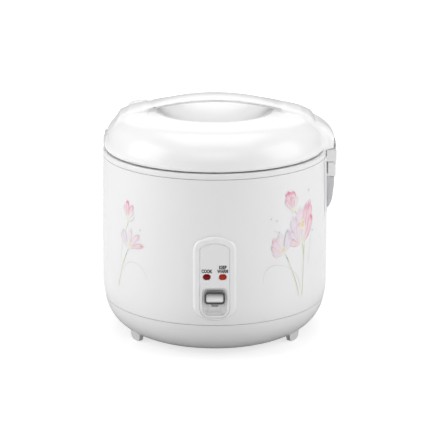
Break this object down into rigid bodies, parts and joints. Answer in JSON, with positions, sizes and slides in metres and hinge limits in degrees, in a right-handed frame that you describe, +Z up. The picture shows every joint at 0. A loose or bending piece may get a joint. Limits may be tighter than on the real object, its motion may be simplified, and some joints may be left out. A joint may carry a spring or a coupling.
{
  "type": "rice cooker",
  "caption": "Round one-lever rice cooker with a hinged domed lid, carrying band, side latch, lift-out pot and heating plate.",
  "frame": {"origin": "on the floor plane through the feet, under the middle of the whole cooker", "axes": "+Z up, the cook lever faces -Y, the latch is at +X and the lid hinge at -X"},
  "size_m": [0.2582, 0.2544, 0.2652],
  "materials": {
    "shell_white": "glossy moulded",
    "base_white": "glossy moulded",
    "foot_plastic": "moulded",
    "ring_white": "glossy moulded",
    "galvanised_steel": "dull zinc",
    "screw_steel": "plated",
    "pot_coating": "non-stick coated",
    "cast_aluminium": "cast, turned top",
    "ceramic_grey": "ceramic",
    "heater_sheath": "heat tinted",
    "terminal_steel": "plated",
    "sensor_aluminium": "turned",
    "spring_steel": "drawn wire",
    "magnet_dark": "sintered",
    "mica_band": "mica",
    "black_phenolic": "moulded",
    "fuse_glass_tube": "ceramic tube",
    "knob_silver": "silver paint",
    "bezel_white": "glossy moulded",
    "panel_grey": "fine satin",
    "lens_red": "translucent",
    "lens_orange": "translucent",
    "well_grey": "moulded",
    "board_tan": "paper laminate",
    "neon_glass": "clear",
    "inlet_white": "moulded",
    "lid_white": "glossy moulded",
    "band_white": "glossy moulded",
    "frame_grey": "moulded",
    "gasket_rubber": "silicone",
    "lid_plate_aluminium": "pressed, satin",
    "knob_black": "moulded",
    "foil_heater": "foil",
    "tube_rubber": "silicone",
    "cap_white": "glossy moulded",
    "housing_white": "glossy moulded",
    "lever_grey": "satin",
    "hook_pale": "satin",
    "wire_sleeve": "glass braid"
  },
  "bodies": {
    "base": {"base_cover": "base_white", "base_screws": "screw_steel", "case_posts": "galvanised_steel", "feet": "foot_plastic", "heater_element": "heater_sheath", "heater_terminals": "terminal_steel", "heating_plate": "cast_aluminium", "hinge_bracket": "ring_white", "hinge_pin": "spring_steel", "hinge_springs": "spring_steel", "inlet_pins": "terminal_steel", "inner_case": "galvanised_steel", "inner_pot": "pot_coating", "keep_warm_thermostat": "black_phenolic", "lamp_board": "board_tan", "lamp_cook": "lens_red", "lamp_warm": "lens_orange", "latch_housing": "housing_white", "latch_pin": "spring_steel", "latch_spring": "spring_steel", "lever_bracket": "galvanised_steel", "lever_pivot_pin": "spring_steel", "lever_well": "well_grey", "microswitch": "black_phenolic", "neon_lamps": "neon_glass", "outer_shell": "shell_white", "panel_bezel": "bezel_white", "panel_face": "panel_grey", "plate_supports": "ceramic_grey", "power_inlet": "inlet_white", "sensor_housing": "galvanised_steel", "sensor_spring": "spring_steel", "side_heater_band": "mica_band", "thermal_fuse": "fuse_glass_tube", "top_ring": "ring_white", "wiring": "wire_sleeve"},
    "lid": {"outer_lid": "lid_white", "latch_cover": "lid_white", "handle_band": "band_white", "handle_screws": "screw_steel", "inner_lid_frame": "frame_grey", "lid_gasket": "gasket_rubber", "inner_lid_plate": "lid_plate_aluminium", "inner_lid_knob": "knob_black", "lid_heater": "foil_heater", "steam_tube": "tube_rubber", "lid_hinge_knuckle": "lid_white", "lid_catch": "terminal_steel"},
    "vent_cap": {"steam_vent_cap": "cap_white"},
    "cook_lever": {"lever_arm": "galvanised_steel", "lever_knob": "knob_silver"},
    "plunger": {"magnet_plunger": "magnet_dark"},
    "sensor": {"sensor_cap": "sensor_aluminium"},
    "latch": {"latch_lever": "lever_grey", "latch_hook": "hook_pale"}
  },
  "joints": [
    {"name": "lid_hinge", "type": "hinge", "parent": "base", "child": "lid", "pos_m": [-0.1213, 0, 0.218], "axis": [0, -1, 0], "range_deg": [0, 85]},
    {"name": "vent_cap_pull", "type": "slide", "parent": "lid", "child": "vent_cap", "axis": [0, 0, 1], "range_m": [0, 0.02]},
    {"name": "cook_lever_rock", "type": "hinge", "parent": "base", "child": "cook_lever", "pos_m": [-0.0043, -0.05, 0.05], "axis": [1, 0, 0], "range_deg": [0, 7.4], "stiffness_Nm_per_rad": 0.2, "springref_deg": -11.46},
    {"name": "plunger_lift", "type": "slide", "parent": "base", "child": "plunger", "axis": [0, 0, 1], "range_m": [0, 0.0068]},
    {"name": "sensor_sink", "type": "slide", "parent": "base", "child": "sensor", "axis": [0, 0, -1], "range_m": [0, 0.0015], "stiffness_N_per_m": 150, "springref_m": -0.004, "deforming": ["sensor_spring"]},
    {"name": "latch_rock", "type": "hinge", "parent": "base", "child": "latch", "pos_m": [0.1162, 0, 0.178], "axis": [0, 1, 0], "range_deg": [0, 6], "stiffness_Nm_per_rad": 0.3, "springref_deg": -6.88}
  ],
  "couplings": [
    {"joint": "plunger_lift", "follows": "cook_lever_rock", "m_per_rad": 0.052}
  ]
}
